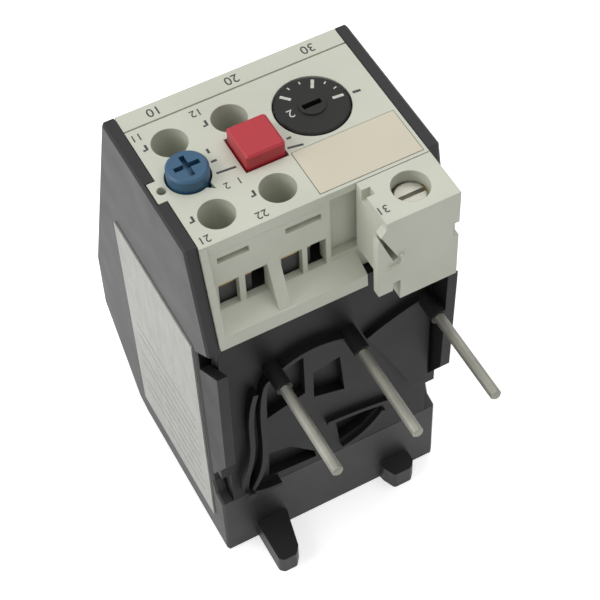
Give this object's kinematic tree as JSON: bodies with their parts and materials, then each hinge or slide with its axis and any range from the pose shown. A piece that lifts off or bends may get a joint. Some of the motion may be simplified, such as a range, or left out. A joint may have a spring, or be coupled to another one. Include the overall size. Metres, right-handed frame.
{
  "type": "thermal overload relay",
  "caption": "Plug-in thermal overload relay: black housing, light grey front with screw wells, setting dial, red stop and blue reset buttons, round line pins and box-clamp load terminals.",
  "frame": {"origin": "centre of the flat back face, where it rests on a surface", "axes": "+Z out of the front face with the dial, -Y towards the contactor along the line pins, +X across the poles to the coil terminal side"},
  "size_m": [0.0453, 0.0755, 0.092],
  "materials": {
    "black_plastic": "moulded black thermoplastic, fine satin texture",
    "inner_plastic": "moulded dark grey thermoplastic",
    "cover_plastic": "moulded light warm grey thermoplastic",
    "block_plastic": "moulded light warm grey thermoplastic",
    "front_label": "bare beige plate",
    "side_label": "bare silver-grey label",
    "dial_plastic": "moulded black plastic",
    "red_plastic": "moulded red plastic",
    "blue_plastic": "moulded blue plastic",
    "tinned_pin": "tinned copper bar",
    "spring_steel": "drawn wire",
    "plated_steel": "zinc-plated steel",
    "bimetal": "rolled strip",
    "heater_wire": "flat resistance wire",
    "brass": "stamped brass"
  },
  "bodies": {
    "relay": {"base_housing": "black_plastic", "pin_carrier": "black_plastic", "mechanism_frame": "inner_plastic", "front_cover": "cover_plastic", "terminal_shroud": "cover_plastic", "screw_guides_far": "cover_plastic", "screw_guides_near": "cover_plastic", "front_label_plate": "front_label", "side_label": "side_label", "coil_terminal_block": "block_plastic", "coil_terminal_strap": "brass", "lever_pin": "spring_steel", "stop_spring": "spring_steel", "reset_spring": "spring_steel", "line_pin_1": "tinned_pin", "pin_strap_1": "brass", "bimetal_strip_1": "bimetal", "heater_winding_1": "heater_wire", "load_tongue_1": "brass", "line_pin_2": "tinned_pin", "pin_strap_2": "brass", "bimetal_strip_2": "bimetal", "heater_winding_2": "heater_wire", "load_tongue_2": "brass", "line_pin_3": "tinned_pin", "pin_strap_3": "brass", "bimetal_strip_3": "bimetal", "heater_winding_3": "heater_wire", "load_tongue_3": "brass", "aux_terminal_far_left": "brass", "aux_terminal_far_right": "brass", "aux_terminal_near_left": "brass", "aux_terminal_near_right": "brass"},
    "dial": {"setting_dial": "dial_plastic"},
    "stop": {"stop_button": "red_plastic"},
    "reset_ring": {"reset_collar": "inner_plastic"},
    "reset": {"reset_button": "blue_plastic"},
    "slide": {"trip_slide": "inner_plastic"},
    "lever": {"trip_lever": "inner_plastic"},
    "contacts": {"contact_carrier": "inner_plastic", "opening_bridge": "brass", "closing_bridge": "brass"},
    "load_clamp_1": {"load_clamp_1": "plated_steel"},
    "load_screw_1": {"load_screw_1": "plated_steel"},
    "load_clamp_2": {"load_clamp_2": "plated_steel"},
    "load_screw_2": {"load_screw_2": "plated_steel"},
    "load_clamp_3": {"load_clamp_3": "plated_steel"},
    "load_screw_3": {"load_screw_3": "plated_steel"},
    "aux_clamp_far_left": {"aux_clamp_far_left": "plated_steel"},
    "aux_screw_far_left": {"aux_screw_far_left": "plated_steel"},
    "aux_clamp_far_right": {"aux_clamp_far_right": "plated_steel"},
    "aux_screw_far_right": {"aux_screw_far_right": "plated_steel"},
    "aux_clamp_near_left": {"aux_clamp_near_left": "plated_steel"},
    "aux_screw_near_left": {"aux_screw_near_left": "plated_steel"},
    "aux_clamp_near_right": {"aux_clamp_near_right": "plated_steel"},
    "aux_screw_near_right": {"aux_screw_near_right": "plated_steel"},
    "coil_clamp": {"coil_clamp": "plated_steel"},
    "coil_screw": {"coil_screw": "plated_steel"}
  },
  "joints": [
    {"name": "dial_turn", "type": "hinge", "parent": "relay", "child": "dial", "pos_m": [0.0087, 0.0016, 0.089], "axis": [0, 0, 1], "range_deg": [-135, 135]},
    {"name": "stop_press", "type": "slide", "parent": "relay", "child": "stop", "axis": [0, 0, -1], "range_m": [0, 0.002], "stiffness_N_per_m": 400, "springref_m": -0.002, "deforming": ["stop_spring"]},
    {"name": "reset_turn", "type": "hinge", "parent": "relay", "child": "reset_ring", "pos_m": [-0.0152, -0.0019, 0.089], "axis": [0, 0, 1], "range_deg": [-90, 0]},
    {"name": "reset_press", "type": "slide", "parent": "reset_ring", "child": "reset", "axis": [0, 0, -1], "range_m": [0, 0.0025], "stiffness_N_per_m": 400, "springref_m": -0.002, "deforming": ["reset_spring"]},
    {"name": "trip_shift", "type": "slide", "parent": "relay", "child": "slide", "axis": [1, 0, 0], "range_m": [0, 0.002], "stiffness_N_per_m": 60, "springref_m": -0.002},
    {"name": "lever_swing", "type": "hinge", "parent": "relay", "child": "lever", "pos_m": [0.0166, 0, 0.064], "axis": [0, 1, 0], "range_deg": [-10.6, 0]},
    {"name": "contact_shift", "type": "slide", "parent": "relay", "child": "contacts", "axis": [-1, 0, 0], "range_m": [0, 0.00169]},
    {"name": "load_screw_turn_1", "type": "hinge", "parent": "relay", "child": "load_screw_1", "pos_m": [-0.01407, 0.0235, 0.0347], "axis": [0, 0, 1], "range_deg": [-1440, 0]},
    {"name": "load_clamp_lift_1", "type": "slide", "parent": "relay", "child": "load_clamp_1", "axis": [0, 0, 1], "range_m": [0, 0.0028]},
    {"name": "load_screw_turn_2", "type": "hinge", "parent": "relay", "child": "load_screw_2", "pos_m": [0, 0.0235, 0.0347], "axis": [0, 0, 1], "range_deg": [-1440, 0]},
    {"name": "load_clamp_lift_2", "type": "slide", "parent": "relay", "child": "load_clamp_2", "axis": [0, 0, 1], "range_m": [0, 0.0028]},
    {"name": "load_screw_turn_3", "type": "hinge", "parent": "relay", "child": "load_screw_3", "pos_m": [0.01407, 0.0235, 0.0347], "axis": [0, 0, 1], "range_deg": [-1440, 0]},
    {"name": "load_clamp_lift_3", "type": "slide", "parent": "relay", "child": "load_clamp_3", "axis": [0, 0, 1], "range_m": [0, 0.0028]},
    {"name": "aux_screw_far_left_turn", "type": "hinge", "parent": "aux_clamp_far_left", "child": "aux_screw_far_left", "pos_m": [-0.0147, 0.0058, 0.077], "axis": [0, 0, 1], "range_deg": [0, 1080]},
    {"name": "aux_clamp_far_left_lift", "type": "slide", "parent": "relay", "child": "aux_clamp_far_left", "axis": [0, 0, 1], "range_m": [0, 0.0015]},
    {"name": "aux_screw_far_right_turn", "type": "hinge", "parent": "aux_clamp_far_right", "child": "aux_screw_far_right", "pos_m": [-0.0041, 0.0058, 0.077], "axis": [0, 0, 1], "range_deg": [0, 1080]},
    {"name": "aux_clamp_far_right_lift", "type": "slide", "parent": "relay", "child": "aux_clamp_far_right", "axis": [0, 0, 1], "range_m": [0, 0.0015]},
    {"name": "aux_screw_near_left_turn", "type": "hinge", "parent": "aux_clamp_near_left", "child": "aux_screw_near_left", "pos_m": [-0.0147, -0.01095, 0.077], "axis": [0, 0, 1], "range_deg": [0, 1080]},
    {"name": "aux_clamp_near_left_lift", "type": "slide", "parent": "relay", "child": "aux_clamp_near_left", "axis": [0, 0, 1], "range_m": [0, 0.0015]},
    {"name": "aux_screw_near_right_turn", "type": "hinge", "parent": "aux_clamp_near_right", "child": "aux_screw_near_right", "pos_m": [-0.0041, -0.01095, 0.077], "axis": [0, 0, 1], "range_deg": [0, 1080]},
    {"name": "aux_clamp_near_right_lift", "type": "slide", "parent": "relay", "child": "aux_clamp_near_right", "axis": [0, 0, 1], "range_m": [0, 0.0015]},
    {"name": "coil_screw_turn", "type": "hinge", "parent": "coil_clamp", "child": "coil_screw", "pos_m": [0.01395, -0.0208, 0.0835], "axis": [0, 0, 1], "range_deg": [0, 1080]},
    {"name": "coil_clamp_lift", "type": "slide", "parent": "relay", "child": "coil_clamp", "axis": [0, 0, 1], "range_m": [0, 0.0015]}
  ],
  "couplings": [
    {"joint": "lever_swing", "follows": "trip_shift", "rad_per_m": -88.496},
    {"joint": "contact_shift", "follows": "trip_shift", "ratio": 0.8407},
    {"joint": "load_screw_turn_1", "follows": "load_clamp_lift_1", "rad_per_m": -8975.1},
    {"joint": "load_screw_turn_2", "follows": "load_clamp_lift_2", "rad_per_m": -8975.1},
    {"joint": "load_screw_turn_3", "follows": "load_clamp_lift_3", "rad_per_m": -8975.1},
    {"joint": "aux_screw_far_left_turn", "follows": "aux_clamp_far_left_lift", "rad_per_m": 12565},
    {"joint": "aux_screw_far_right_turn", "follows": "aux_clamp_far_right_lift", "rad_per_m": 12565},
    {"joint": "aux_screw_near_left_turn", "follows": "aux_clamp_near_left_lift", "rad_per_m": 12565},
    {"joint": "aux_screw_near_right_turn", "follows": "aux_clamp_near_right_lift", "rad_per_m": 12565},
    {"joint": "coil_screw_turn", "follows": "coil_clamp_lift", "rad_per_m": 12565}
  ]
}
